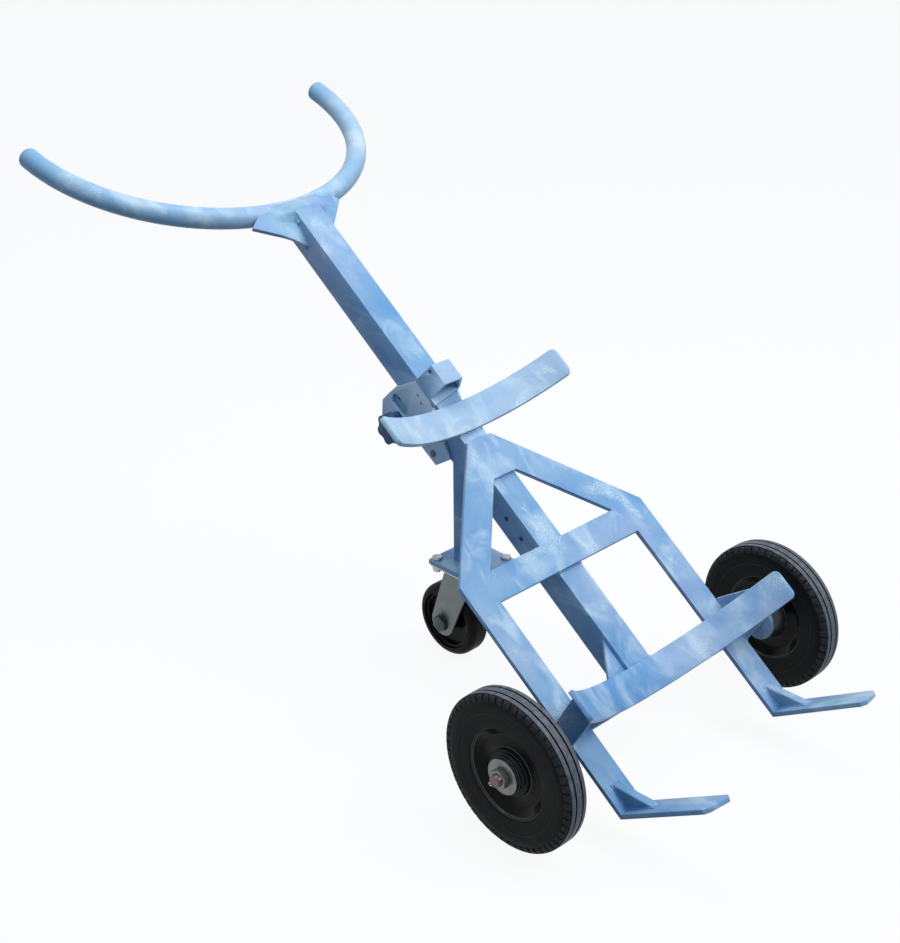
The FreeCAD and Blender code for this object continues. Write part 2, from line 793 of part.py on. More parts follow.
def hood(inset, low, high, back, front):
    """Tapered block in front of the mast, drawn in from the cheeks to the nose."""
    wires = []
    for half, depth in ((cheek_outer - inset, back), (beak_nose_half - inset, front)):
        corners = [Vector(-half, low, depth), Vector(half, low, depth), Vector(half, high, depth),
                   Vector(-half, high, depth)]
        wires.append(Part.makePolygon(corners + corners[:1]))
    return Part.makeLoft(wires, True, True)


def clamp_beak():
    nose = hood(0, beak_low, beak_high, strap_front, beak_reach)
    mouth = hood(beak_wall, beak_low, beak_high - beak_web, strap_front, beak_reach - beak_wall)
    hole = rod(beak_hole_radius, -cheek_outer, cheek_outer, beak_high - beak_web / 2.0, beak_reach * 0.7)
    return nose.cut(mouth).cut(hole)


def clamp_jaw():
    points = [(-cheek_outer, beak_low - clamp_strap_slant), (cheek_outer, beak_low),
              (cheek_outer, beak_high), (-cheek_outer, beak_high)]
    return flat(points, strap_back, strap_front)


def clamp_pads():
    inner = mast_half + slide_clearance
    strip = block(inner, cheek_inner, bolt_height, bolt_height + clamp_pad_length,
                  mast_back + clamp_pad_thick, mast_front - 3.0 * clamp_pad_thick)
    right = strip.common(web(cheek_outline(), inner, cheek_inner))
    return Part.makeCompound([right, mirrored(right)])


def clamp_bolt():
    shank = rod(clamp_bolt_radius, -cheek_outer, cheek_outer, bolt_height, bolt_depth)
    head = rod(clamp_bolt_head_radius, cheek_outer, cheek_outer + clamp_bolt_head, bolt_height, bolt_depth)
    return shank.multiFuse([head, mirrored(head)])


def clamp_spacer():
    tube = rod(clamp_spacer_radius, -cheek_inner, cheek_inner, bolt_height, bolt_depth)
    bore = clamp_bolt_radius + running_clearance
    return tube.cut(rod(bore, -cheek_inner, cheek_inner, bolt_height, bolt_depth))


def clamp_screw():
    knob_end = -cheek_outer - seat_clearance - knob_thick * 0.75
    shank = rod(screw_radius, knob_end, cheek_outer + screw_collar, screw_height, screw_depth)
    collar_x = cheek_outer + seat_clearance
    collar = rod(screw_collar_radius, collar_x, collar_x + screw_collar, screw_height, screw_depth)
    return shank.fuse(collar)


def clamp_knob():
    high = -cheek_outer - seat_clearance
    low = high - knob_thick
    body = rod(knob_radius - knob_lobe_radius / 2.0, low, high, screw_height, screw_depth)
    lobes = []
    for index in range(knob_lobes):
        turn = math.radians(360.0 * index / knob_lobes)
        reach = knob_radius - knob_lobe_radius
        lobes.append(rod(knob_lobe_radius, low, high, screw_height + reach * math.cos(turn),
                         screw_depth + reach * math.sin(turn)))
    body = body.multiFuse(lobes).removeSplitter()
    bore = screw_radius + running_clearance
    return body.cut(rod(bore, low + knob_thick / 4.0, high, screw_height, screw_depth))


add_frame("clamp_cheek_right", clamp_cheek())
add_frame("clamp_cheek_left", mirrored(clamp_cheek().cut(cheek_slot())))
add_frame("clamp_beak", clamp_beak())
add_frame("clamp_jaw", clamp_jaw())
add_frame("clamp_pads", clamp_pads())
add_frame("clamp_bolt", clamp_bolt())
add_frame("clamp_spacer", clamp_spacer())
add_frame("clamp_screw", clamp_screw())
add_frame("clamp_knob", clamp_knob())

# Centre the model over the middle of its footprint and write the pieces
box = Part.makeCompound(list(nodes.values())).optimalBoundingBox(False)
middle = Vector(0, -(box.YMin + box.YMax) / 2.0, 0)
os.makedirs("parts", exist_ok=True)
for name, shape in nodes.items():
    shape.translate(middle)
    shape.exportStep(os.path.join("parts", name + ".step"))
print("size", round(box.XLength, 2), round(box.YLength, 2), round(box.ZLength, 2))
print("axle", round(middle.y, 4), wheel_radius, "caster", round(caster_reach + middle.y, 4))
screw_centre = frame_place.multVec(Vector(0, screw_height, screw_depth)).add(middle)
print("clamp screw", round(screw_centre.y, 4), round(screw_centre.z, 4))
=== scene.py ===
import math

import bmesh
import bpy
from mathutils import Matrix, Vector


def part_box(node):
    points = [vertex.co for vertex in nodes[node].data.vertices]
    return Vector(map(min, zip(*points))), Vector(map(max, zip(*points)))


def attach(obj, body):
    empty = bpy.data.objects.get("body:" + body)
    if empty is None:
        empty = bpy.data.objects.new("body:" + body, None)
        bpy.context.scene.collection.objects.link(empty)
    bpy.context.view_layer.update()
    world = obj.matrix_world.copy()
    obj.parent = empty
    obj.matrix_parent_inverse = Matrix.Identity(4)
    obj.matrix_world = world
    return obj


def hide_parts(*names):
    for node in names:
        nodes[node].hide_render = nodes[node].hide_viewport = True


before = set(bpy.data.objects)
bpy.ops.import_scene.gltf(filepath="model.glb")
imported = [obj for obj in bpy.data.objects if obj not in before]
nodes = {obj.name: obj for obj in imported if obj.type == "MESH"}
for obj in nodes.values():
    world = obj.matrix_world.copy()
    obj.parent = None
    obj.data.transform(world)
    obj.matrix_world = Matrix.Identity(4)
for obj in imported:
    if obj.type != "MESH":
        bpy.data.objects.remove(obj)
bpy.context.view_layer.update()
scene = bpy.context.scene
scene.view_settings.view_transform = "Standard"
print("frame loaded:", len(nodes), "nodes")

mm = 0.001  # lengths are in millimetres and angles in degrees, unless a note says otherwise


def nodeMiddle(name):
    low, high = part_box(name)
    return (Vector(low) + Vector(high)) / 2.0


# where the trolley stands: the legs' lean, and the axle's place up the legs and behind them
stance = {"lean": 36.3, "axleUpLeg": 136.5, "axleBehind": 18.0}
axleMiddle = nodeMiddle("axle")
leanTurn = Matrix.Rotation(math.radians(stance["lean"]), 4, "X")
heel = axleMiddle - leanTurn @ Vector((0, stance["axleUpLeg"] * mm, -stance["axleBehind"] * mm))
plateSpace = Matrix.Translation(heel) @ leanTurn  # x across, y up the legs, z towards the drum


def onPlate(x, up, out):
    return plateSpace @ Vector((x * mm, up * mm, out * mm))


# small helpers for node trees, meshes and pieces
def linear(hexCode):  # an sRGB hex value as a linear colour
    values = [int(hexCode[place:place + 2], 16) / 255.0 for place in (1, 3, 5)]
    return tuple(v / 12.92 if v <= 0.04045 else ((v + 0.055) / 1.055) ** 2.4 for v in values) + (1.0,)


def addNode(tree, kind, settings, inputs, stops=()):
    node = tree.nodes.new(kind)
    for name, value in settings.items():
        setattr(node, name, value)
    for name, value in inputs.items():
        if isinstance(value, bpy.types.Node):
            value = next(output for output in value.outputs if output.enabled)
        if isinstance(value, bpy.types.NodeSocket):
            tree.links.new(value, node.inputs[name])
        else:
            node.inputs[name].default_value = value
    while stops and len(node.color_ramp.elements) < len(stops):
        node.color_ramp.elements.new(0.5)
    for number, (place, hexCode) in enumerate(stops):
        node.color_ramp.elements[number].position = place
        node.color_ramp.elements[number].color = linear(hexCode)
    return node


mixFirst, mixSecond = 6, 7  # a Mix node's two colour sockets, which share their names with others
noiseLow, noiseHigh = 0.3, 0.7  # between these lies nearly all of a noise


def repeats(size):
    return 1.0 / (size * mm)  # pattern scale from a real size


def emptyTree(owner):
    owner.use_nodes = True
    owner.node_tree.nodes.clear()
    return owner.node_tree


def newMaterial(name):
    material = bpy.data.materials.new(name)
    return material, emptyTree(material)


def newPiece(name, mesh):
    piece = bpy.data.objects.new(name, mesh)
    scene.collection.objects.link(piece)
    return piece


def meshFrom(build, name):
    mesh = bpy.data.meshes.new(name)
    build.to_mesh(mesh)
    build.free()
    return mesh


def skin(build, here, after):  # faces between two closed rings of points
    for index in range(len(here)):
        following = (index + 1) % len(here)
        build.faces.new((here[index], here[following], after[following], after[index]))


def shadeSmooth(mesh):
    for face in mesh.polygons:
        face.use_smooth = True


def plainMesh(piece):
    depsgraph = bpy.context.evaluated_depsgraph_get()
    evaluated = piece.evaluated_get(depsgraph)
    mesh = bpy.data.meshes.new_from_object(evaluated, preserve_all_data_layers=True, depsgraph=depsgraph)
    piece.modifiers.clear()
    piece.data = mesh


def softEdges(piece, width, sharpFrom, segments=2):
    shadeSmooth(piece.data)
    bevel = piece.modifiers.new("softEdges", "BEVEL")
    bevel.width = width * mm
    bevel.segments = segments
    bevel.limit_method = "ANGLE"
    bevel.angle_limit = math.radians(sharpFrom)
    bevel.harden_normals = True
    plainMesh(piece)


# powder paint: cloudy light blue, lavender and mint drifts, pale streaks that are painted reflections, patches
# of painted sparkle, a low gloss
# its grain and orange peel are too fine to show, so both are drawn coarser
paintLook = {"cloud": 75.0, "drift": 230.0, "driftShare": 0.5,
             "streak": 42.0, "stretch": 0.22, "slant": (0.5, 0.35, 0.9),  # the slant is in radians
             "streakFrom": 0.52, "streakFull": 0.72, "streakShare": 0.55,
             "gleamPatchFrom": 0.58, "gleamPatchFull": 0.70, "gleamPatchShare": 0.8,
             "grain": 1.8, "sparkleFrom": 0.46, "sparkleFull": 0.60, "sparkleShare": 0.85,
             "fleckDark": 0.93, "fleckLight": 1.06,
             "peel": 2.6, "peelStrength": 0.12, "peelDepth": 0.3,
             "roughLow": 0.30, "roughHigh": 0.46, "shine": 0.28}
paints = {
    "bluePowderPaint": {
        "clouds": [(0.30, "#5D92C3"), (0.46, "#80A8C9"), (0.60, "#99B9CF"), (0.74, "#B6D0DB")],
        "drifts": [(0.34, "#568EC4"), (0.46, "#75A2CA"), (0.58, "#A1B1D4"), (0.68, "#9EC3D1")],
        "pale": "#D2E4EA"},
    # a lit copy of the blue powder, drawn paler: painted light
    "paleLitBluePaint": {
        "clouds": [(0.30, "#85AFCF"), (0.46, "#9ABCD4"), (0.60, "#ACC9DA"), (0.74, "#C6DCE4")],
        "drifts": [(0.34, "#80ABCE"), (0.46, "#93B8D3"), (0.58, "#B3C1DB"), (0.68, "#B1CFDA")],
        "pale": "#DCEAEE"},
    # the palest lit copy of the blue powder: painted light for the clamp's shaded cheeks
    "palestLitCheekPaint": {
        "clouds": [(0.30, "#C6DDEC"), (0.46, "#D5E6F1"), (0.60, "#DFECF4"), (0.74, "#EAF3F8")],
        "drifts": [(0.34, "#C9DCEE"), (0.46, "#CFE3EF"), (0.58, "#D8E2F0"), (0.68, "#D7EAF2")],
        "pale": "#F2F8FA"}}


def powderPaint(name):
    material, tree = newMaterial(name)
    place = addNode(tree, "ShaderNodeTexCoord", {}, {}).outputs["Object"]
    paint = paints[name]
    # the pale tone is painted light: it draws the reflection streaks and the sparkle
    pale = linear(paint["pale"])
    cloud = addNode(tree, "ShaderNodeTexNoise", {}, {
        "Vector": place, "Scale": repeats(paintLook["cloud"]), "Detail": 4.0, "Distortion": 0.9})
    drift = addNode(tree, "ShaderNodeTexNoise", {}, {
        "Vector": place, "Scale": repeats(paintLook["drift"]), "Detail": 2.0, "Distortion": 0.5})
    grain = addNode(tree, "ShaderNodeTexNoise", {}, {
        "Vector": place, "Scale": repeats(paintLook["grain"]), "Detail": 2.0})
    peel = addNode(tree, "ShaderNodeTexNoise", {}, {
        "Vector": place, "Scale": repeats(paintLook["peel"]), "Detail": 1.0})
    # painted reflections: pale streaks along a slanted, stretched noise
    slant = addNode(tree, "ShaderNodeMapping", {}, {
        "Vector": place, "Rotation": paintLook["slant"], "Scale": (1.0, paintLook["stretch"], 1.0)})
    streak = addNode(tree, "ShaderNodeTexNoise", {}, {
        "Vector": slant, "Scale": repeats(paintLook["streak"]), "Detail": 3.0, "Distortion": 0.6})
    cloudTone = addNode(tree, "ShaderNodeValToRGB", {}, {"Fac": cloud}, paint["clouds"])
    driftTone = addNode(tree, "ShaderNodeValToRGB", {}, {"Fac": drift}, paint["drifts"])
    body = addNode(tree, "ShaderNodeMix", {"data_type": "RGBA"}, {
        "Factor": paintLook["driftShare"], mixFirst: cloudTone, mixSecond: driftTone})
    streakShare = addNode(tree, "ShaderNodeMapRange", {}, {
        "Value": streak, "From Min": paintLook["streakFrom"], "From Max": paintLook["streakFull"],
        "To Min": 0.0, "To Max": paintLook["streakShare"]})
    streaked = addNode(tree, "ShaderNodeMix", {"data_type": "RGBA"}, {
        "Factor": streakShare, mixFirst: body, mixSecond: pale})
    # painted highlight: pale sparkle on the grain, only where the cloud noise is high
    gleamPatches = addNode(tree, "ShaderNodeMapRange", {}, {
        "Value": cloud, "From Min": paintLook["gleamPatchFrom"], "From Max": paintLook["gleamPatchFull"],
        "To Min": 0.0, "To Max": paintLook["gleamPatchShare"]})
    sparkle = addNode(tree, "ShaderNodeMapRange", {}, {
        "Value": grain, "From Min": paintLook["sparkleFrom"], "From Max": paintLook["sparkleFull"],
        "To Min": 0.0, "To Max": paintLook["sparkleShare"]})
    paintedSparkle = addNode(tree, "ShaderNodeMath", {"operation": "MULTIPLY"}, {0: gleamPatches, 1: sparkle})
    withPaintedSparkle = addNode(tree, "ShaderNodeMix", {"data_type": "RGBA"}, {
        "Factor": paintedSparkle, mixFirst: streaked, mixSecond: pale})
    fleck = addNode(tree, "ShaderNodeMapRange", {}, {
        "Value": grain, "From Min": noiseLow, "From Max": noiseHigh,
        "To Min": paintLook["fleckDark"], "To Max": paintLook["fleckLight"]})
    shade = addNode(tree, "ShaderNodeHueSaturation", {}, {"Color": withPaintedSparkle, "Value": fleck})
    gloss = addNode(tree, "ShaderNodeMapRange", {}, {
        "Value": cloud, "From Min": noiseLow, "From Max": noiseHigh,
        "To Min": paintLook["roughLow"], "To Max": paintLook["roughHigh"]})
    peelBump = addNode(tree, "ShaderNodeBump", {}, {
        "Height": peel, "Strength": paintLook["peelStrength"], "Distance": paintLook["peelDepth"] * mm})
    shader = addNode(tree, "ShaderNodeBsdfPrincipled", {}, {
        "Base Color": shade, "Roughness": gloss, "Normal": peelBump, "Specular IOR Level": paintLook["shine"]})
    addNode(tree, "ShaderNodeOutputMaterial", {}, {"Surface": shader})
    return material


bluePaint = powderPaint("bluePowderPaint")  # baked powder on the bars: the deepest blue of the three
litBluePaint = powderPaint("paleLitBluePaint")  # the same powder drawn paler and milkier: painted light, a lit copy for the handle, upper cradle, mount plate, beak and jaw
cheekLitPaint = powderPaint("palestLitCheekPaint")  # the powder drawn palest, almost white, on the clamp's cheeks: painted light on faces that lie in shade

# moulded rubber and plastic: one plain tone, a little dusty in patches
# their pores are finer than the render shows, so they are drawn coarser
mouldGrain = {"pore": 1.1, "strength": 0.16, "depth": 0.2, "darkAt": 0.35, "dustyAt": 0.70,
              "roughSpread": 0.07}
mouldings = {
    "mouldedTyreRubber": {"dark": "#101010", "dusty": "#191918", "patch": 30.0, "rough": 0.50, "shine": 0.09},
    # the tread's bluish grey is a painted reflection of the sky
    "treadSkySheenRubber": {"dark": "#4A4E53", "dusty": "#6C7076", "patch": 9.0, "rough": 0.50, "shine": 0.28},
    # lighter grey for the lugs and shoulders, and a painted highlight on the mould ring
    "greyLugAndRingGleamRubber": {"dark": "#232423", "dusty": "#494A47", "patch": 6.0, "rough": 0.60, "shine": 0.12},
    # the lip's lighter tone is a painted highlight
    "lipPaintedGleamPlastic": {
        "dark": "#2C2D2B", "dusty": "#3D3E3B", "patch": 25.0, "rough": 0.24, "shine": 0.45},
    "mouldedRimPlastic": {
        "dark": "#0A0B0A", "dusty": "#11110F", "patch": 40.0, "rough": 0.20, "shine": 0.09},
    # the knob's dark blue is painted shade
    "darkShadedKnobPlastic": {
        "dark": "#34506E", "dusty": "#456486", "patch": 20.0, "rough": 0.42, "shine": 0.22},
    # black standing for the shade inside holes
    "holeShadeBlackPlastic": {"dark": "#17191C", "dusty": "#202327", "patch": 10.0, "rough": 0.45, "shine": 0.20},
    "paleNylon": {"dark": "#C9C6BA", "dusty": "#DAD8CE", "patch": 14.0, "rough": 0.48, "shine": 0.40}}


def moulded(name):
    material, tree = newMaterial(name)
    place = addNode(tree, "ShaderNodeTexCoord", {}, {}).outputs["Object"]
    look = mouldings[name]
    dust = addNode(tree, "ShaderNodeTexNoise", {}, {
        "Vector": place, "Scale": repeats(look["patch"]), "Detail": 4.0})
    pores = addNode(tree, "ShaderNodeTexNoise", {}, {
        "Vector": place, "Scale": repeats(mouldGrain["pore"]), "Detail": 2.0})
    tone = addNode(tree, "ShaderNodeValToRGB", {}, {"Fac": dust}, [
        (mouldGrain["darkAt"], look["dark"]), (mouldGrain["dustyAt"], look["dusty"])])
    gloss = addNode(tree, "ShaderNodeMapRange", {}, {
        "Value": dust, "From Min": noiseLow, "From Max": noiseHigh,
        "To Min": look["rough"] - mouldGrain["roughSpread"],
        "To Max": look["rough"] + mouldGrain["roughSpread"]})
    poreBump = addNode(tree, "ShaderNodeBump", {}, {
        "Height": pores, "Strength": mouldGrain["strength"], "Distance": mouldGrain["depth"] * mm})
    shader = addNode(tree, "ShaderNodeBsdfPrincipled", {}, {
        "Base Color": tone, "Roughness": gloss, "Normal": poreBump, "Specular IOR Level": look["shine"]})
    addNode(tree, "ShaderNodeOutputMaterial", {}, {"Surface": shader})
    return material


tyreRubber = moulded("mouldedTyreRubber")  # solid rubber out of a mould: deep black with hardly any sheen
treadSheenRubber = moulded("treadSkySheenRubber")  # ribs drawn a lighter bluish grey: a painted reflection of the sky along the tread
lugGreyAndRingGleam = moulded("greyLugAndRingGleamRubber")  # lugs and shoulders a lighter, matt grey; on the mould ring the same tone is a painted highlight
lipGleamPlastic = moulded("lipPaintedGleamPlastic")  # the same polypropylene, glossier and drawn lighter: a painted highlight, a narrow bright gleam
rimPlastic = moulded("mouldedRimPlastic")  # moulded polypropylene: near black, smooth and dim
shadedKnobPlastic = moulded("darkShadedKnobPlastic")  # blue nylon drawn dark blue: painted shade for the shadow the knob sits in; soft, broad highlights
holeShadeBlack = moulded("holeShadeBlackPlastic")  # plain black plastic: painted shade, the dark of holes, on the mast plugs and the clamp's slit marks
nylonPad = moulded("paleNylon")  # undyed nylon: off-white and a little waxy

# plated and bare metals: a patchy sheen over grit, which is drawn coarser than it is
metalGrain = {"grit": 0.7, "strength": 0.07, "depth": 0.1, "lowAt": 0.32, "highAt": 0.68, "roughSpread": 0.06}
metals = {
    # the blue tint is a painted reflection of the sky
    "brightZincPlate": {"low": "#9CA4AB", "high": "#B9C1C8", "patch": 26.0, "rough": 0.34, "metallic": 0.8},
    "dullZincPlate": {"low": "#6C6F6E", "high": "#858886", "patch": 14.0, "rough": 0.40, "metallic": 0.8},
    "greyZincPressedSteel": {
        "low": "#747C7B", "high": "#89908E", "patch": 30.0, "rough": 0.50, "metallic": 0.6},
    "blackenedBoltSteel": {"low": "#38403F", "high": "#525A59", "patch": 12.0, "rough": 0.42, "metallic": 0.5},
    # dark blue grey: painted shade on zinc
    "shadedBlueZinc": {"low": "#2A3848", "high": "#3D4F63", "patch": 8.0, "rough": 0.42, "metallic": 0.4},
    "bareTurnedSteel": {"low": "#6B5648", "high": "#8B7463", "patch": 9.0, "rough": 0.40, "metallic": 0.6},
    "sinteredBronze": {"low": "#7C5A33", "high": "#A67C48", "patch": 5.0, "rough": 0.40, "metallic": 0.9}}


def plated(name):
    material, tree = newMaterial(name)
    place = addNode(tree, "ShaderNodeTexCoord", {}, {}).outputs["Object"]
    look = metals[name]
    patch = addNode(tree, "ShaderNodeTexNoise", {}, {
        "Vector": place, "Scale": repeats(look["patch"]), "Detail": 4.0})
    grit = addNode(tree, "ShaderNodeTexNoise", {}, {
        "Vector": place, "Scale": repeats(metalGrain["grit"]), "Detail": 2.0})
    tone = addNode(tree, "ShaderNodeValToRGB", {}, {"Fac": patch}, [
        (metalGrain["lowAt"], look["low"]), (metalGrain["highAt"], look["high"])])
    gloss = addNode(tree, "ShaderNodeMapRange", {}, {
        "Value": patch, "From Min": noiseLow, "From Max": noiseHigh,
        "To Min": look["rough"] - metalGrain["roughSpread"],
        "To Max": look["rough"] + metalGrain["roughSpread"]})
    gritBump = addNode(tree, "ShaderNodeBump", {}, {
        "Height": grit, "Strength": metalGrain["strength"], "Distance": metalGrain["depth"] * mm})
    shader = addNode(tree, "ShaderNodeBsdfPrincipled", {}, {
        "Base Color": tone, "Roughness": gloss, "Normal": gritBump, "Metallic": look["metallic"]})
    addNode(tree, "ShaderNodeOutputMaterial", {}, {"Surface": shader})
    return material


zincPlate = plated("brightZincPlate")  # bright electroplate: pale grey with clear highlights, tinted a little blue as a painted reflection of the sky
dullZinc = plated("dullZincPlate")  # aged zinc: a darker grey, softer highlights
forkSteel = plated("greyZincPressedSteel")  # pressed and plated sheet: even grey, a broad sheen
darkSteel = plated("blackenedBoltSteel")  # oil-blackened steel: near black with a dim gleam
shadedClampZinc = plated("shadedBlueZinc")  # zinc drawn dark blue grey: painted shade, the shade the clamp bolt lies in
bareAxle = plated("bareTurnedSteel")  # turned steel with a touch of rust: brownish grey
bronzeBush = plated("sinteredBronze")  # sintered bronze: warm and dry
print("materials ready")

# plain CAD forms get soft edges and smooth curves, and stand for the node they copy
cleaning = {"merge": 0.02, "flatWithin": 0.5, "sharpFrom": 32.0}
plainForms = [  # body, finish, slot and the softened width of each form's edges
    ("frame", bluePaint, "blue_paint", {
        "mast": 2.6, "toe_left": 1.4, "toe_right": 1.4, "toe_gusset_left": 0.8, "toe_gusset_right": 0.8,
        "lower_cradle": 2.2, "side_plate_left": 0.8, "side_plate_right": 0.8, "foot_gusset": 0.8,
        "mast_cap": 0.8, "caster_post": 0.8, "axle_flange_left": 0.5, "axle_flange_right": 0.5}),
    # the upper cradle, mount plate, clamp beak and jaw take the paler lit copy of the paint: painted light
    ("frame", litBluePaint, "blue_paint", {"upper_cradle": 1.4, "mount_plate": 1.0}),
    ("clamp", litBluePaint, "blue_paint", {"clamp_beak": 0.8, "clamp_jaw": 0.8}),
    # the clamp's cheeks take the palest lit copy: painted light
    ("clamp", cheekLitPaint, "blue_paint", {"clamp_cheek_left": 0.7, "clamp_cheek_right": 0.7}),
    ("frame", dullZinc, "zinc_steel", {
        "axle_washers": 0.4, "axle_nuts": 0.7, "caster_race": 0.4, "caster_kingpin": 0.4}),
    ("frame", zincPlate, "zinc_steel", {
        "caster_bolts": 0.6, "caster_nuts": 0.6, "caster_plate": 0.6, "split_pins": 0.3}),
    # the mast plugs are drawn black: painted shade standing for holes
    ("frame", holeShadeBlack, "black_plastic", {"mast_plugs": 0.4}),
    ("caster_swivel", forkSteel, "zinc_steel", {"caster_fork": 0.7}),
    ("caster_swivel", darkSteel, "dark_steel", {"caster_axle_bolt": 0.8, "caster_axle_nut": 0.8}),
    ("caster_wheel", rimPlastic, "black_plastic", {"caster_hub": 0.6}),
    ("caster_wheel", tyreRubber, "black_rubber", {"caster_tyre": 0.6}),
    ("clamp", nylonPad, "nylon", {"clamp_pads": 0.3}),
    ("clamp", shadedClampZinc, "zinc_steel", {"clamp_bolt": 0.4}),
    ("clamp", zincPlate, "zinc_steel", {"clamp_spacer": 0.4}),
    ("clamp_lock", zincPlate, "zinc_steel", {"clamp_screw": 0.5}),
    ("clamp_lock", shadedKnobPlastic, "black_plastic", {"clamp_knob": 1.0}),
    ("wheel_left", bronzeBush, "bronze", {"bush_left": 0.3}),
    ("wheel_right", bronzeBush, "bronze", {"bush_right": 0.3})]


def mergeFlat(build, distance):  # loose triangles become whole flat faces
    bmesh.ops.remove_doubles(build, verts=build.verts, dist=distance * mm)
    flatWithin = math.radians(cleaning["flatWithin"])
    bmesh.ops.dissolve_limit(build, angle_limit=flatWithin, verts=build.verts, edges=build.edges)


def cleanCopy(name):
    build = bmesh.new()
    build.from_mesh(nodes[name].data)
    mergeFlat(build, cleaning["merge"])
    return meshFrom(build, name + ".dressed")


def finishPiece(piece, body, material, slot, *names):
    piece.data.materials.clear()
    piece.data.materials.append(material)
    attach(piece, body)
    if names:
        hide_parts(*names)


def dress(name, body, material, slot, bevel):
    piece = newPiece(name + ".dressed", cleanCopy(name))
    softEdges(piece, bevel, cleaning["sharpFrom"])
    finishPiece(piece, body, material, slot, name)
    return piece


# the flat bars are welded and ground flush, so one seamless plate stands for all six
flushBars = {"bars": ("leg_left", "leg_right", "crossbar", "diagonal_left", "diagonal_right", "apex_plate"),
             "merge": 0.05, "edge": 0.8}


def flushPlate():
    plate = newPiece("frame.flushPlate", cleanCopy(flushBars["bars"][0]))
    for name in flushBars["bars"][1:]:
        bar = newPiece(name + ".bar", cleanCopy(name))
        union = plate.modifiers.new("weld", "BOOLEAN")
        union.operation = "UNION"
        union.solver = "EXACT"
        union.object = bar
        plainMesh(plate)
        bpy.data.objects.remove(bar)
    build = bmesh.new()
    build.from_mesh(plate.data)
    mergeFlat(build, flushBars["merge"])
    build.to_mesh(plate.data)
    build.free()
    softEdges(plate, flushBars["edge"], cleaning["sharpFrom"])
    return plate


finishPiece(flushPlate(), "frame", bluePaint, "blue_paint", *flushBars["bars"])
for body, material, slot, bevels in plainForms:
    for name, bevel in bevels.items():
        dress(name, body, material, slot, bevel)
print("plain forms dressed")

# the axle is painted between the wheels and bare at its threaded ends
axleLook = {"edge": 0.5, "bareFrom": 290.0}
axlePiece = dress("axle", "frame", bluePaint, "zinc_steel", axleLook["edge"])
axlePiece.data.materials.append(bareAxle)
for face in axlePiece.data.polygons:
    if abs(face.center.x) > axleLook["bareFrom"] * mm:
        face.material_index = 1

# pieces turned about an axle along X, from a closed profile of places along it and radii
turnedSharpFrom = 24.0


def turnedPiece(name, profile, middle, steps, bevel):
    build = bmesh.new()
    rings = []
    for step in range(steps):
        turn = 2.0 * math.pi * step / steps
        ring = [build.verts.new((middle.x + along * mm, middle.y + radius * mm * math.cos(turn),
                                 middle.z + radius * mm * math.sin(turn))) for along, radius in profile]
        rings.append(ring)
    for step in range(steps):
        skin(build, rings[step], rings[(step + 1) % steps])
    bmesh.ops.recalc_face_normals(build, faces=build.faces)
    piece = newPiece(name, meshFrom(build, name))
    softEdges(piece, bevel, turnedSharpFrom)
    return piece


# rims: dull moulded plastic, with a glossier band drawn lighter as a painted highlight round the dish's lip
# and on the boss's steps
rimShape = {"seat": 17.0, "outside": 80.0, "lip": 70.0, "lipRound": 1.0, "lipFall": 3.0,
            "dish": 60.0, "dishRound": 3.0, "web": 3.0, "fillet": 2.0, "foot": 6.0,
            "boss": 37.0, "bore": 13.0, "bossIn": 28.0, "bossOut": 22.0, "bossStep": 4.0,
            "taper": 0.65, "shoulder": 0.85, "neck": 0.75, "nose": 0.72,  # shares of the boss's radius
            "bevel": 1.2, "steps": 120}
# the painted gleam: from a share of the boss's radius to just past it on its round faces, and from just inside
# the lip
rimGleamBands = {"bossFrom": 0.7, "bossPast": 1.0, "steep": 0.8, "lipBefore": 0.7}


def rimProfile(outward):
    seat, web, boss, lip, dish = [rimShape[key] for key in ("seat", "web", "boss", "lip", "dish")]
    bore, bossIn, bossOut = [rimShape[key] for key in ("bore", "bossIn", "bossOut")]
    shoulder = boss * rimShape["shoulder"]
    step = seat - rimShape["bossStep"]
    wall = [(web, boss + rimShape["foot"]), (web, dish - rimShape["dishRound"]),
            (web + rimShape["fillet"], dish), (seat - rimShape["lipFall"], lip),
            (seat, lip + rimShape["lipRound"]), (seat, rimShape["outside"])]
    inside = [(-bossIn, bore), (-bossIn, boss * rimShape["taper"]), (-seat, shoulder),
              (-web - rimShape["fillet"], boss)]
    outside = [(web + rimShape["fillet"], boss), (step, boss), (step, shoulder), (seat, shoulder),
               (seat, boss * rimShape["neck"]), (bossOut, boss * rimShape["nose"]), (bossOut, bore)]
    profile = inside + [(-along, radius) for along, radius in wall] + wall[::-1] + outside
    return [(outward * along, radius) for along, radius in profile]


for side, outward in (("left", -1.0), ("right", 1.0)):
    middle = nodeMiddle("tyre_" + side)
    rim = turnedPiece("rim_" + side + ".turned", rimProfile(outward), middle,
                      rimShape["steps"], rimShape["bevel"])
    finishPiece(rim, "wheel_" + side, rimPlastic, "black_plastic", "rim_" + side)
    rim.data.materials.append(lipGleamPlastic)
    bossFrom = rimShape["boss"] * rimGleamBands["bossFrom"]
    bossTo = rimShape["boss"] + rimGleamBands["bossPast"]
    for face in rim.data.polygons:
        radius = math.hypot(face.center.y - middle.y, face.center.z - middle.z) / mm
        onBoss = bossFrom < radius < bossTo and abs(face.normal.x) < rimGleamBands["steep"]
        if onBoss or radius > rimShape["lip"] - rimGleamBands["lipBefore"]:
            face.material_index = 1
print("rims turned")


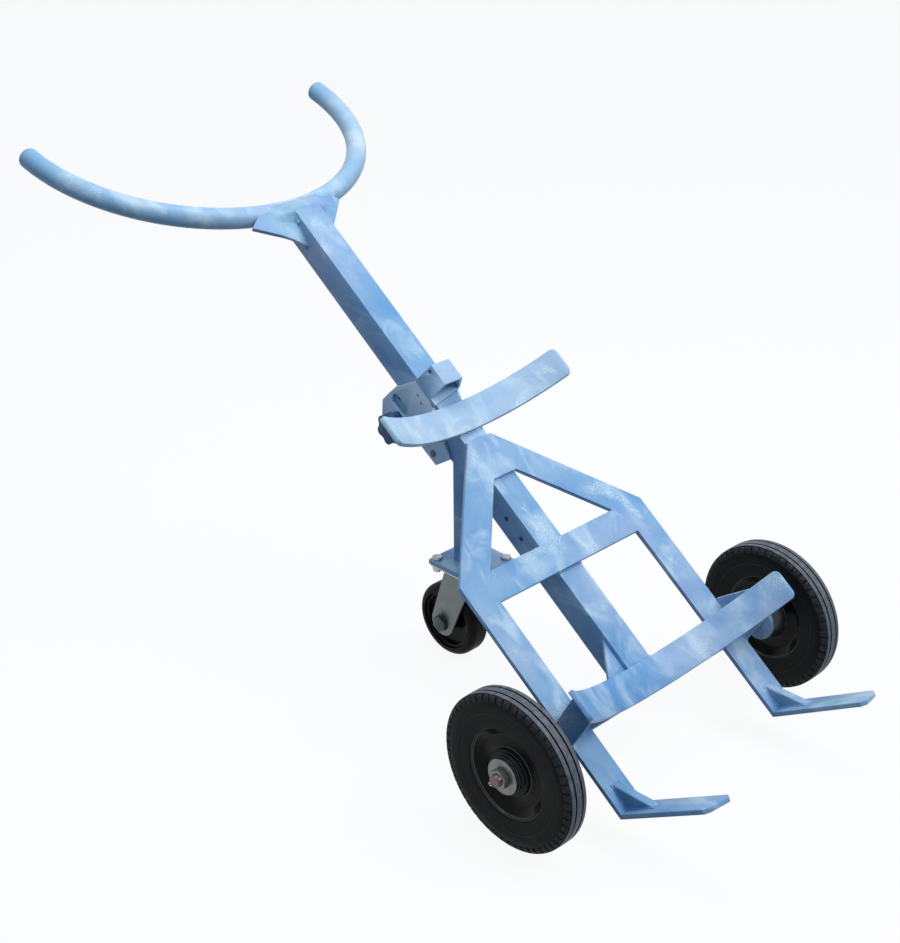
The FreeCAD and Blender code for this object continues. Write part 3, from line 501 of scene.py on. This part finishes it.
def nodeTree(name, inputs):
    tree = bpy.data.node_groups.new(name, "GeometryNodeTree")
    sockets = {}
    tree.interface.new_socket("Geometry", in_out="INPUT", socket_type="NodeSocketGeometry")
    for label, kind in inputs:
        sockets[label] = tree.interface.new_socket(label, in_out="INPUT", socket_type=kind).identifier
    tree.interface.new_socket("Geometry", in_out="OUTPUT", socket_type="NodeSocketGeometry")
    return tree, sockets, addNode(tree, "NodeGroupInput", {}, {}).outputs


def grow(piece, tree, sockets, values):
    modifier = piece.modifiers.new(tree.name, "NODES")
    modifier.node_group = tree
    for label, value in values.items():
        modifier[sockets[label]] = value
    plainMesh(piece)


# ring of lugs: one pair of lugs drawn at the top of the wheel is repeated round the axle
ringTree, ringSockets, given = nodeTree("lugRing", [
    ("Count", "NodeSocketInt"), ("Middle", "NodeSocketVector"), ("Finish", "NodeSocketMaterial")])
spots = addNode(ringTree, "GeometryNodeMeshLine", {}, {"Count": given["Count"], "Offset": (0.0, 0.0, 0.0)})
number = addNode(ringTree, "GeometryNodeInputIndex", {}, {})
part = addNode(ringTree, "ShaderNodeMath", {"operation": "DIVIDE"}, {0: number, 1: given["Count"]})
angle = addNode(ringTree, "ShaderNodeMath", {"operation": "MULTIPLY"}, {0: part, 1: 2.0 * math.pi})
turn = addNode(ringTree, "ShaderNodeCombineXYZ", {}, {"X": angle})
lugs = addNode(ringTree, "GeometryNodeInstanceOnPoints", {}, {
    "Points": spots, "Instance": given["Geometry"], "Rotation": turn})
solidLugs = addNode(ringTree, "GeometryNodeRealizeInstances", {}, {"Geometry": lugs})
moved = addNode(ringTree, "GeometryNodeTransform", {}, {"Geometry": solidLugs, "Translation": given["Middle"]})
finished = addNode(ringTree, "GeometryNodeSetMaterial", {}, {"Geometry": moved, "Material": given["Finish"]})
addNode(ringTree, "NodeGroupOutput", {}, {"Geometry": finished})

# wheel tyres: three tread ribs, cut shoulders with lugs, and a thin mould ring on each sidewall
# each section is a list of places along the axle and radii, the mould ring's counted from its own radius
tyreShape = {"radius": 125.0, "groove": (5.2, 7.8), "grooveFloor": 121.6, "treadEdge": 14.6,
             "lap": [(17.1, 71.6), (18.3, 72.4), (18.8, 76.0), (19.3, 84.0)],
             "mouldRing": 94.5, "ringSection": [(19.45, -1.2), (19.95, -0.5), (19.95, 0.5), (19.5, 1.2)],
             "sidewall": [(19.9, 102.0), (19.7, 107.0), (19.1, 111.0), (18.5, 112.6), (17.3, 113.2),
                          (16.4, 117.0)],
             "ledge": [(0.5, 121.0), (0.0, 122.0)], "treadRound": [(0.0, -0.9), (-0.9, -0.35)],
             "bevel": 0.35, "steps": 180}
tyreToneBands = {"rib": 0.9, "shoulder": 112.9, "ring": 0.6}  # depth of the ribs' painted sheen, where the lighter shoulders start, half the ring's painted highlight
lugShape = {"count": 54, "length": 10.6, "lengthAt": 118.0, "bevel": 0.5, "sharpFrom": 28.0,
            "section": [(14.9, 122.9), (16.6, 121.6), (18.2, 118.9), (18.9, 114.4), (18.4, 112.2),
                        (16.6, 112.6), (15.4, 119.0)]}


def tyreProfile():
    tread, edge, ring = [tyreShape[key] for key in ("radius", "treadEdge", "mouldRing")]
    grooveIn, grooveOut = tyreShape["groove"]
    floorRadius = tyreShape["grooveFloor"]
    right = list(tyreShape["lap"])
    right += [(along, ring + off) for along, off in tyreShape["ringSection"]]
    right += tyreShape["sidewall"]
    right += [(edge + off, radius) for off, radius in tyreShape["ledge"]]
    right += [(edge + off, tread + drop) for off, drop in tyreShape["treadRound"]]
    right += [(grooveOut, tread), (grooveOut, floorRadius), (grooveIn, floorRadius), (grooveIn, tread)]
    return right + [(-along, radius) for along, radius in reversed(right)]


def lugPair():
    build = bmesh.new()
    half = lugShape["length"] / 2.0
    for side in (-1.0, 1.0):
        ends = []
        for reach in (-half, half):
            ends.append([build.verts.new((side * along * mm, reach * mm * radius / lugShape["lengthAt"],
                                          radius * mm)) for along, radius in lugShape["section"]])
        skin(build, ends[0], ends[1])
        build.faces.new(ends[0])
        build.faces.new(ends[1])
    bmesh.ops.recalc_face_normals(build, faces=build.faces)
    return meshFrom(build, "lugPair")


for side in ("left", "right"):
    middle = nodeMiddle("tyre_" + side)
    tyre = turnedPiece("tyre_" + side + ".ribbed", tyreProfile(), middle,
                       tyreShape["steps"], tyreShape["bevel"])
    finishPiece(tyre, "wheel_" + side, tyreRubber, "black_rubber", "tyre_" + side)
    tyre.data.materials.append(treadSheenRubber)
    tyre.data.materials.append(lugGreyAndRingGleam)
    for face in tyre.data.polygons:  # the ribs get a painted sky sheen, the shoulders a lighter grey, the mould ring a painted highlight
        offMiddle = (face.center - middle) / mm
        radius = math.hypot(offMiddle.y, offMiddle.z)
        onShoulder = radius > tyreToneBands["shoulder"] and abs(offMiddle.x) > tyreShape["treadEdge"]
        if radius > tyreShape["radius"] - tyreToneBands["rib"]:
            face.material_index = 1
        elif onShoulder or abs(radius - tyreShape["mouldRing"]) < tyreToneBands["ring"]:
            face.material_index = 2
    lugRing = newPiece("tyre_" + side + ".lugs", lugPair())
    softEdges(lugRing, lugShape["bevel"], lugShape["sharpFrom"])
    grow(lugRing, ringTree, ringSockets, {
        "Count": lugShape["count"], "Middle": tuple(middle), "Finish": lugGreyAndRingGleam})
    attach(lugRing, "wheel_" + side)
print("tyres turned")

# handle: one bent tube with rounded plug ends and a fine seam where each plug sits
handleShape = {"tube": 17.5, "bend": 304.5, "half": 90.0, "tilt": 19.5, "up": 1121.0, "out": -40.5,
               "plug": 8.0, "plugRound": 7.0, "roundSteps": 7, "seam": (0.12, 0.5, 0.62), "seamDepth": 0.35,
               "around": 48, "along": 120, "sharpFrom": 40.0}


def handleStations():  # angle along the bend, straight run past its end, ring radius
    tube = handleShape["tube"]
    half = math.radians(handleShape["half"])
    rounding = handleShape["plugRound"]
    straight = handleShape["plug"] - rounding
    seamIn, seamOut, seamEnd = handleShape["seam"]
    seamTube = tube - handleShape["seamDepth"]
    plugEnd = [(half, 0.0, tube), (half, seamIn, seamTube), (half, seamOut, seamTube), (half, seamEnd, tube)]
    for step in range(handleShape["roundSteps"] + 1):
        turn = math.pi / 2.0 * step / handleShape["roundSteps"]
        plugEnd.append((half, straight + rounding * math.sin(turn), tube - rounding * (1.0 - math.cos(turn))))
    stations = [(-angle, -run, radius) for angle, run, radius in reversed(plugEnd)]
    for step in range(1, handleShape["along"]):
        stations.append((-half + 2.0 * half * step / handleShape["along"], 0.0, tube))
    return stations + plugEnd


def handleTube():
    place = plateSpace @ Matrix.Translation((0, handleShape["up"] * mm, handleShape["out"] * mm))
    place = place @ Matrix.Rotation(math.radians(-handleShape["tilt"]), 4, "X")
    bend = handleShape["bend"]
    build = bmesh.new()
    rings = []
    for angle, run, radius in handleStations():
        outward = Vector((math.sin(angle), -math.cos(angle), 0))
        tangent = Vector((math.cos(angle), math.sin(angle), 0))
        spine = Vector((0, bend, 0)) + outward * bend + tangent * run
        ring = []
        for step in range(handleShape["around"]):
            turn = 2.0 * math.pi * step / handleShape["around"]
            point = spine + outward * (radius * math.cos(turn)) + Vector((0, 0, radius * math.sin(turn)))
            ring.append(build.verts.new(place @ (point * mm)))
        rings.append(ring)
    for here, after in zip(rings, rings[1:]):
        skin(build, here, after)
    build.faces.new(rings[0])
    build.faces.new(rings[-1])
    bmesh.ops.recalc_face_normals(build, faces=build.faces)
    mesh = meshFrom(build, "handle.tube")
    shadeSmooth(mesh)
    mesh.set_sharp_from_angle(angle=math.radians(handleShape["sharpFrom"]))
    return mesh


# the tube takes the paler lit copy of the paint: painted light
handle = newPiece("handle.tube", handleTube())
finishPiece(handle, "frame", litBluePaint, "blue_paint", "handle", "handle_caps")
print("handle bent")

# handle gussets: each plate leans back from the mast's face and runs into the tube
gussetShape = {"from": 25.0, "face": -21.0, "thick": 8.0, "topReach": 68.0,
               "leanBack": 0.14, "leanUnder": 0.009, "leanFrom": 1080.0,
               "columns": 24, "rows": 16, "bevel": 0.8, "sharpFrom": 40.0,
               "left": {"hand": -1.0, "reach": 100.0, "low": 1042.0, "tipLow": 1103.0},
               "right": {"hand": 1.0, "reach": 90.0, "low": 1048.0, "tipLow": 1110.0}}


def gussetLevel(aside, up):
    under = max(gussetShape["leanFrom"] - up, 0.0)
    return gussetShape["face"] - gussetShape["leanBack"] * aside - gussetShape["leanUnder"] * under ** 2


def gridMesh(name, rows):
    build = bmesh.new()
    lines = [[build.verts.new(point) for point in row] for row in rows]
    for here, after in zip(lines, lines[1:]):
        for column in range(len(here) - 1):
            build.faces.new((here[column], here[column + 1], after[column + 1], after[column]))
    bmesh.ops.recalc_face_normals(build, faces=build.faces)
    towardsDrum = plateSpace.to_3x3() @ Vector((0.0, 0.0, 1.0))
    if sum(face.normal.dot(towardsDrum) for face in build.faces) < 0.0:
        bmesh.ops.reverse_faces(build, faces=build.faces)
    mesh = meshFrom(build, name)
    shadeSmooth(mesh)
    return mesh


def thickSheet(name, rows, depth):
    piece = newPiece(name, gridMesh(name, rows))
    thickness = piece.modifiers.new("depth", "SOLIDIFY")
    thickness.thickness = depth * mm
    thickness.offset = -1.0
    plainMesh(piece)
    return piece


def gussetRows(outline):
    rows = []
    for row in range(gussetShape["rows"] + 1):
        share = row / gussetShape["rows"]
        line = []
        for column in range(gussetShape["columns"] + 1):
            along = column / gussetShape["columns"]
            lowX = gussetShape["from"] + (outline["reach"] - gussetShape["from"]) * along
            lowUp = outline["low"] + (outline["tipLow"] - outline["low"]) * along
            topX = gussetShape["from"] + (gussetShape["topReach"] - gussetShape["from"]) * along
            bow = handleShape["bend"] - math.sqrt(handleShape["bend"] ** 2 - topX ** 2)
            topUp = handleShape["up"] + bow * math.cos(math.radians(handleShape["tilt"]))
            x = lowX + (topX - lowX) * share
            up = lowUp + (topUp - lowUp) * share
            line.append(onPlate(outline["hand"] * x, up, gussetLevel(x - gussetShape["from"], up)))
        rows.append(line)
    return rows


for side in ("left", "right"):
    gusset = thickSheet("handle_gusset_" + side + ".leaning", gussetRows(gussetShape[side]),
                        gussetShape["thick"])
    softEdges(gusset, gussetShape["bevel"], gussetShape["sharpFrom"])
    finishPiece(gusset, "frame", bluePaint, "blue_paint", "handle_gusset_" + side)

# ground weld at the mast's head: it runs from the mast's face over the tube and down onto both gussets
headWeld = {"low": 1078.0, "slope": 0.41, "mastFace": -8.1, "sunk": 0.6, "tubeFace": -24.2,
            "bendFrom": 1097.0, "bendCurve": 1.8, "top": 1128.0, "half": 25.0, "reach": 66.0, "rise": 22.0,
            "fadeCurve": 1.7, "columns": 44, "rows": 22, "depth": 4.0}


def headLevel(up):
    share = min(max((up - headWeld["bendFrom"]) / (headWeld["top"] - headWeld["bendFrom"]), 0.0), 1.0)
    fall = headWeld["tubeFace"] - headWeld["mastFace"]
    return headWeld["mastFace"] + fall * share ** headWeld["bendCurve"]


def headRows():
    rows = []
    for row in range(headWeld["rows"] + 1):
        line = []
        for column in range(headWeld["columns"] + 1):
            x = headWeld["reach"] * (2.0 * column / headWeld["columns"] - 1.0)
            aside = max(abs(x) - headWeld["half"], 0.0)
            low = headWeld["low"] + headWeld["slope"] * aside
            up = low + (headWeld["top"] - low) * row / headWeld["rows"]
            climb = min((up - low) / headWeld["rise"], 1.0)
            climb = climb * climb * (3.0 - 2.0 * climb)  # eased at both ends
            fade = (1.0 - aside / (headWeld["reach"] - headWeld["half"])) ** headWeld["fadeCurve"]
            rest = min(gussetLevel(aside, up) - headWeld["sunk"], headLevel(up))
            level = headLevel(up) if aside == 0.0 else rest + (headLevel(up) - rest) * climb * fade
            line.append(onPlate(x, up, level))
        rows.append(line)
    return rows


finishPiece(thickSheet("frame.headWeld", headRows(), headWeld["depth"]), "frame", bluePaint, "blue_paint")


# small rounded blocks set square to the frame, given by two corners each
def plateBlocks(name, corners, bevel):
    build = bmesh.new()
    for low, high in corners:
        points = [build.verts.new(onPlate(x, up, out)) for x in (low[0], high[0]) for up in (low[1], high[1])
                  for out in (low[2], high[2])]
        for ring in ((0, 1, 3, 2), (4, 6, 7, 5), (0, 4, 5, 1), (2, 3, 7, 6), (0, 2, 6, 4), (1, 5, 7, 3)):
            build.faces.new([points[index] for index in ring])
    bmesh.ops.recalc_face_normals(build, faces=build.faces)
    piece = newPiece(name, meshFrom(build, name))
    softEdges(piece, bevel, cleaning["sharpFrom"], segments=3)
    return piece


# clamp: a pawl plate shows behind the cheek's slot, and small black blocks set a little proud of the cheek are
# painted shade standing for slits
clampMarks = {"pawl": ((-27.2, 714.0, -92.0), (-24.2, 768.0, -59.5)), "pawlBevel": 0.8,
              "slitShades": [(724.0, -23.0), (711.5, -28.0), (747.5, -64.7)], "slit": (5.4, 2.6),
              "cheek": -32.3, "slitProud": 0.15, "slitDeep": 1.0, "slitBevel": 0.5}
pawl = plateBlocks("clamp.pawl", [clampMarks["pawl"]], clampMarks["pawlBevel"])
finishPiece(pawl, "clamp", bluePaint, "blue_paint")
tall, wide = clampMarks["slit"]
slitFace = clampMarks["cheek"] - clampMarks["slitProud"]
slitBack = clampMarks["cheek"] + clampMarks["slitDeep"]
# painted shade: black blocks for the slits
slitShades = plateBlocks("clamp.slits", [((slitFace, up - tall / 2.0, out - wide / 2.0),
                                     (slitBack, up + tall / 2.0, out + wide / 2.0))
                                    for up, out in clampMarks["slitShades"]], clampMarks["slitBevel"])
finishPiece(slitShades, "clamp", holeShadeBlack, "black_plastic")
print("handle weld and clamp marks made")

# weld beads: overlapping scales laid along the seams of the frame
weldShape = {"pitch": 2.2, "bead": 1.9, "smallest": 0.82, "largest": 1.12, "seed": 7, "roundness": 2}
randomLow, randomHigh = 2, 3  # a Random Value node's sockets for plain numbers
weldTree, weldSockets, given = nodeTree("weldBeads", [
    ("Pitch", "NodeSocketFloat"), ("Bead", "NodeSocketFloat"), ("Seed", "NodeSocketInt"),
    ("Finish", "NodeSocketMaterial")])
seam = addNode(weldTree, "GeometryNodeMeshToCurve", {}, {"Mesh": given["Geometry"]})
steps = addNode(weldTree, "GeometryNodeCurveToPoints", {"mode": "LENGTH"}, {
    "Curve": seam, "Length": given["Pitch"]})
drop = addNode(weldTree, "GeometryNodeMeshIcoSphere", {}, {
    "Radius": given["Bead"], "Subdivisions": weldShape["roundness"]})
size = addNode(weldTree, "FunctionNodeRandomValue", {"data_type": "FLOAT"}, {
    randomLow: weldShape["smallest"], randomHigh: weldShape["largest"], "Seed": given["Seed"]})
scales = addNode(weldTree, "GeometryNodeInstanceOnPoints", {}, {
    "Points": steps, "Instance": drop, "Scale": size})
solidScales = addNode(weldTree, "GeometryNodeRealizeInstances", {}, {"Geometry": scales})
smooth = addNode(weldTree, "GeometryNodeSetShadeSmooth", {}, {"Geometry": solidScales})
finished = addNode(weldTree, "GeometryNodeSetMaterial", {}, {"Geometry": smooth, "Material": given["Finish"]})
addNode(weldTree, "NodeGroupOutput", {}, {"Geometry": finished})

# where the seams run: up the leg and along the toe at each toe gusset, beside each side plate,
# along the handle gussets, and across the mast behind each bar
seamPlaces = {"toeGusset": 181.0, "gussetHalf": 8.0, "upLeg": [(2.0, 0.4), (42.0, 0.2)],
              "toeLean": 22.4, "toeRun": 52.0, "toeStart": 0.8, "toeRise": 0.3,
              "sidePlate": 205.6, "sidePlateEnds": (121.0, 157.0), "barThick": 8.0,
              "headEdge": 25.4, "headUps": (1044.0, 1060.0, 1075.0, 1082.0),
              "mastHalf": 24.0, "mastUps": (176.2, 356.8, 409.2, 611.2, 625.8, 680.2)}


def weldSeams():
    seams = []
    lean = math.radians(seamPlaces["toeLean"])
    run = seamPlaces["toeRun"]
    barBack = -seamPlaces["barThick"]
    for side in (-1.0, 1.0):
        for edge in (-seamPlaces["gussetHalf"], seamPlaces["gussetHalf"]):
            x = side * seamPlaces["toeGusset"] + edge
            seams.append([(x, up, out) for up, out in seamPlaces["upLeg"]])
            seams.append([(x, 0.0, seamPlaces["toeStart"]),
                          (x, seamPlaces["toeRise"] - math.sin(lean) * run, math.cos(lean) * run)])
        for out in (barBack, 0.0):
            seams.append([(side * seamPlaces["sidePlate"], up, out) for up in seamPlaces["sidePlateEnds"]])
        for back in (0.0, gussetShape["thick"]):
            seams.append([(side * seamPlaces["headEdge"], up, gussetLevel(0.0, up) - back)
                          for up in seamPlaces["headUps"]])
    for up in seamPlaces["mastUps"]:
        seams.append([(-seamPlaces["mastHalf"], up, barBack), (seamPlaces["mastHalf"], up, barBack)])
    return seams


def seamMesh(seams):
    verts, edges = [], []
    for points in seams:
        start = len(verts)
        verts += [onPlate(*point) for point in points]
        edges += [(start + index, start + index + 1) for index in range(len(points) - 1)]
    mesh = bpy.data.meshes.new("weldSeams")
    mesh.from_pydata(verts, edges, [])
    return mesh


welds = newPiece("frame.welds", seamMesh(weldSeams()))
grow(welds, weldTree, weldSockets, {
    "Pitch": weldShape["pitch"] * mm, "Bead": weldShape["bead"] * mm,
    "Seed": weldShape["seed"], "Finish": bluePaint})
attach(welds, "frame")
print("welds laid:", len(welds.data.polygons), "faces")


# 1 for a ray that shows a thing to the camera, straight, in a gloss or through glass, and 0 for lighting
def shownRays(tree):
    rays = addNode(tree, "ShaderNodeLightPath", {}, {})
    seen = addNode(tree, "ShaderNodeMath", {"operation": "MAXIMUM"}, {
        0: rays.outputs["Is Camera Ray"], 1: rays.outputs["Is Glossy Ray"]})
    return addNode(tree, "ShaderNodeMath", {"operation": "MAXIMUM"}, {
        0: seen, 1: rays.outputs["Is Transmission Ray"]})


# floor: white paper to the camera that keeps the shadow, and a duller tone in the light it throws back
# its size is in metres, and it lies just under the wheels
floorLook = {"size": 14.0, "under": 0.4, "tone": "#F4F4F4", "bounce": "#61696F", "lift": 0.92, "glow": 1.0}
white = (1.0, 1.0, 1.0, 1.0)
reach = floorLook["size"] / 2.0
floorUp = -floorLook["under"] * mm
floorMesh = bpy.data.meshes.new("floor")
floorMesh.from_pydata([(x, y, floorUp) for x, y in ((-reach, -reach), (reach, -reach), (reach, reach),
                                                    (-reach, reach))], [], [(0, 1, 2, 3)])
floor = newPiece("floor", floorMesh)
floorPaper, tree = newMaterial("paleFloor")
glow = addNode(tree, "ShaderNodeEmission", {}, {"Color": white, "Strength": floorLook["glow"]})
shown = shownRays(tree)
tone = addNode(tree, "ShaderNodeMix", {"data_type": "RGBA"}, {
    "Factor": shown, mixFirst: linear(floorLook["bounce"]), mixSecond: linear(floorLook["tone"])})
matt = addNode(tree, "ShaderNodeBsdfDiffuse", {}, {"Color": tone})
lift = addNode(tree, "ShaderNodeMath", {"operation": "MULTIPLY"}, {0: shown, 1: floorLook["lift"]})
paper = addNode(tree, "ShaderNodeMixShader", {}, {0: lift, 1: matt, 2: glow})
addNode(tree, "ShaderNodeOutputMaterial", {}, {"Surface": paper})
floor.data.materials.append(floorPaper)

# sky: white to the camera, and a pale blue fill for the object
skyLook = {"fill": "#A8D2FB", "strength": 0.47}
world = bpy.data.worlds.new("studio")
scene.world = world
tree = emptyTree(world)
shown = shownRays(tree)
fill = addNode(tree, "ShaderNodeBackground", {}, {
    "Color": linear(skyLook["fill"]), "Strength": skyLook["strength"]})
backdrop = addNode(tree, "ShaderNodeBackground", {}, {"Color": white, "Strength": 1.0})
sky = addNode(tree, "ShaderNodeMixShader", {}, {0: shown, 1: fill, 2: backdrop})
addNode(tree, "ShaderNodeOutputWorld", {}, {"Surface": sky})

# lamps: places and sizes in metres, power in watts
lamps = {"key": {"from": (1.0, -2.0, 2.9), "to": (0.0, -0.1, 0.3), "power": 65.0, "size": 2.0},
         "top": {"from": (0.0, 0.3, 2.6), "to": (0.0, 0.4, 0.6), "power": 23.0, "size": 1.4}}
for name, lamp in lamps.items():
    light = bpy.data.lights.new(name, "AREA")
    light.energy = lamp["power"]
    light.size = lamp["size"]
    holder = bpy.data.objects.new(name, light)
    scene.collection.objects.link(holder)
    holder.location = lamp["from"]
    holder.rotation_euler = (Vector(lamp["to"]) - Vector(lamp["from"])).to_track_quat("-Z", "Y").to_euler()

# camera: distance and aim in metres, the aim counted from the axle along the floor
view = {"azimuth": -45.7, "elevation": 28.5, "roll": 0.3, "distance": 2.7081, "lens": 66.47, "sensor": 36.0,
        "shift": (-0.0524, 0.0622), "aim": (-0.0483, 0.2779, 0.3078)}
azimuth, elevation, roll = [math.radians(view[key]) for key in ("azimuth", "elevation", "roll")]
away = Vector((math.sin(azimuth) * math.cos(elevation), -math.cos(azimuth) * math.cos(elevation),
               math.sin(elevation)))
level = Vector((math.cos(azimuth), math.sin(azimuth), 0.0))
steep = away.cross(level)
across = math.cos(roll) * level + math.sin(roll) * steep
upward = -math.sin(roll) * level + math.cos(roll) * steep
aim = Vector(view["aim"]) + Vector((0.0, axleMiddle.y, 0.0))
lensData = bpy.data.cameras.new("photoView")
lensData.lens = view["lens"]
lensData.sensor_width = view["sensor"]
lensData.shift_x, lensData.shift_y = view["shift"]
camera = bpy.data.objects.new("photoView", lensData)
turnIn = Matrix((across, upward, away)).transposed().to_4x4()
camera.matrix_world = Matrix.Translation(aim + away * view["distance"]) @ turnIn
scene.collection.objects.link(camera)
scene.camera = camera
print("floor, light and camera set")
